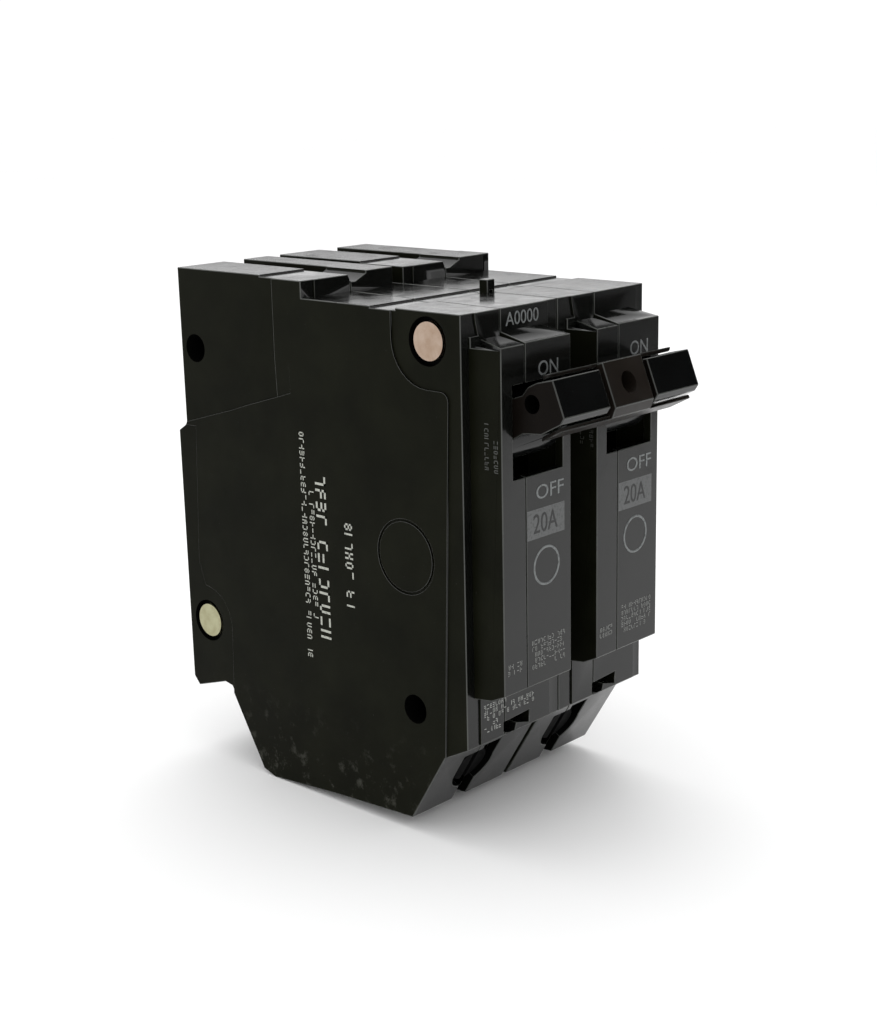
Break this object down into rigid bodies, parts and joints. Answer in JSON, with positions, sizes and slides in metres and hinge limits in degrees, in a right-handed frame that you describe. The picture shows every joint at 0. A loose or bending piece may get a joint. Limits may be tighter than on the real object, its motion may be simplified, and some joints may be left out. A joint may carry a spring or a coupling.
{
  "type": "two-pole circuit breaker",
  "caption": "Plug-in breaker: side-by-side moulded poles, tied toggles, rear jaws for the bus, clamp lugs behind a keyholed chamfer.",
  "frame": {"origin": "midway between the poles, on the rear plane of the line end, level with the lower front edge", "axes": "+Z towards the line end, -Y out of the panel, +X across the poles"},
  "size_m": [0.0506, 0.0922, 0.0981],
  "materials": {
    "case": "satin black phenolic moulding",
    "toggle": "polished black moulding",
    "tie": "matte brown-black moulding",
    "rivet_copper": "copper-plated rivet",
    "rivet_yellow": "yellow-passivated rivet",
    "copper": "bright copper",
    "steel": "plated steel",
    "dark_steel": "black oxide steel",
    "contact": "silver alloy",
    "insulation": "vulcanised fibre",
    "bimetal": "rolled bimetal",
    "braid": "copper braid",
    "lug_metal": "tin-plated aluminium"
  },
  "bodies": {
    "case": {"cover_1": "case", "base_1": "case", "line_strap_1": "copper", "line_jaw_1": "steel", "fixed_contact_1": "contact", "arm_pin_1": "steel", "arc_chute_1": "insulation", "cradle_pin_1": "steel", "armature_pin_1": "steel", "magnet_yoke_1": "steel", "bimetal_1": "bimetal", "flexible_lead_1": "braid", "load_strap_1": "copper", "lug_1": "lug_metal", "cover_2": "case", "base_2": "case", "line_strap_2": "copper", "line_jaw_2": "steel", "fixed_contact_2": "contact", "arm_pin_2": "steel", "arc_chute_2": "insulation", "cradle_pin_2": "steel", "armature_pin_2": "steel", "magnet_yoke_2": "steel", "bimetal_2": "bimetal", "flexible_lead_2": "braid", "load_strap_2": "copper", "lug_2": "lug_metal", "rivet_upper": "rivet_copper", "rivet_lower": "rivet_yellow", "pole_key": "case"},
    "handle": {"toggle_1": "toggle", "toggle_2": "toggle", "handle_tie": "tie"},
    "trip_shaft": {"trip_bar": "tie"},
    "contact_1": {"contact_arm_1": "copper", "moving_contact_1": "contact"},
    "latch_lever_1": {"cradle_1": "steel", "operating_spring_1": "steel"},
    "armature_1": {"armature_1": "steel"},
    "clamp_1": {"clamp_shoe_1": "steel"},
    "screw_1": {"lug_screw_1": "dark_steel"},
    "contact_2": {"contact_arm_2": "copper", "moving_contact_2": "contact"},
    "latch_lever_2": {"cradle_2": "steel", "operating_spring_2": "steel"},
    "armature_2": {"armature_2": "steel"},
    "clamp_2": {"clamp_shoe_2": "steel"},
    "screw_2": {"lug_screw_2": "dark_steel"}
  },
  "joints": [
    {"name": "handle_throw", "type": "hinge", "parent": "case", "child": "handle", "pos_m": [0, -0.0708, 0.0725], "axis": [1, 0, 0], "range_deg": [0, 42]},
    {"name": "contact_swing_1", "type": "hinge", "parent": "case", "child": "contact_1", "pos_m": [-0.0136, -0.0565, 0.0685], "axis": [1, 0, 0], "range_deg": [-25.2, 0]},
    {"name": "contact_swing_2", "type": "hinge", "parent": "case", "child": "contact_2", "pos_m": [0.0118, -0.0565, 0.0685], "axis": [1, 0, 0], "range_deg": [-25.2, 0]},
    {"name": "armature_pull_1", "type": "hinge", "parent": "case", "child": "armature_1", "pos_m": [-0.01325, -0.0436, 0.03], "axis": [1, 0, 0], "range_deg": [-5, 0], "stiffness_Nm_per_rad": 0.05, "springref_deg": 2.86},
    {"name": "latch_drop_1", "type": "hinge", "parent": "case", "child": "latch_lever_1", "pos_m": [-0.00975, -0.06, 0.057], "axis": [1, 0, 0], "range_deg": [-16, 0]},
    {"name": "armature_pull_2", "type": "hinge", "parent": "case", "child": "armature_2", "pos_m": [0.01215, -0.0436, 0.03], "axis": [1, 0, 0], "range_deg": [-5, 0]},
    {"name": "latch_drop_2", "type": "hinge", "parent": "case", "child": "latch_lever_2", "pos_m": [0.01565, -0.06, 0.057], "axis": [1, 0, 0], "range_deg": [-16, 0]},
    {"name": "trip_bar_turn", "type": "hinge", "parent": "case", "child": "trip_shaft", "pos_m": [0, -0.0485, 0.038], "axis": [1, 0, 0], "range_deg": [-5, 0]},
    {"name": "clamp_travel_1", "type": "slide", "parent": "case", "child": "clamp_1", "axis": [0, 0.8536, 0.5209], "range_m": [0, 0.0024]},
    {"name": "screw_turn_1", "type": "hinge", "parent": "clamp_1", "child": "screw_1", "pos_m": [-0.01325, -0.06247, 0.00683], "axis": [0, 0.8536, 0.5209], "range_deg": [0, 1080]},
    {"name": "clamp_travel_2", "type": "slide", "parent": "case", "child": "clamp_2", "axis": [0, 0.8536, 0.5209], "range_m": [0, 0.0024]},
    {"name": "screw_turn_2", "type": "hinge", "parent": "clamp_2", "child": "screw_2", "pos_m": [0.01215, -0.06247, 0.00683], "axis": [0, 0.8536, 0.5209], "range_deg": [0, 1080]}
  ],
  "couplings": [
    {"joint": "contact_swing_1", "follows": "handle_throw", "ratio": -0.6},
    {"joint": "contact_swing_2", "follows": "handle_throw", "ratio": -0.6},
    {"joint": "latch_drop_1", "follows": "armature_pull_1", "ratio": 3.2},
    {"joint": "armature_pull_2", "follows": "armature_pull_1", "ratio": 1},
    {"joint": "latch_drop_2", "follows": "armature_pull_1", "ratio": 3.2},
    {"joint": "trip_bar_turn", "follows": "armature_pull_1", "ratio": 1},
    {"joint": "screw_turn_1", "follows": "clamp_travel_1", "rad_per_m": 7854},
    {"joint": "screw_turn_2", "follows": "clamp_travel_2", "rad_per_m": 7854}
  ]
}
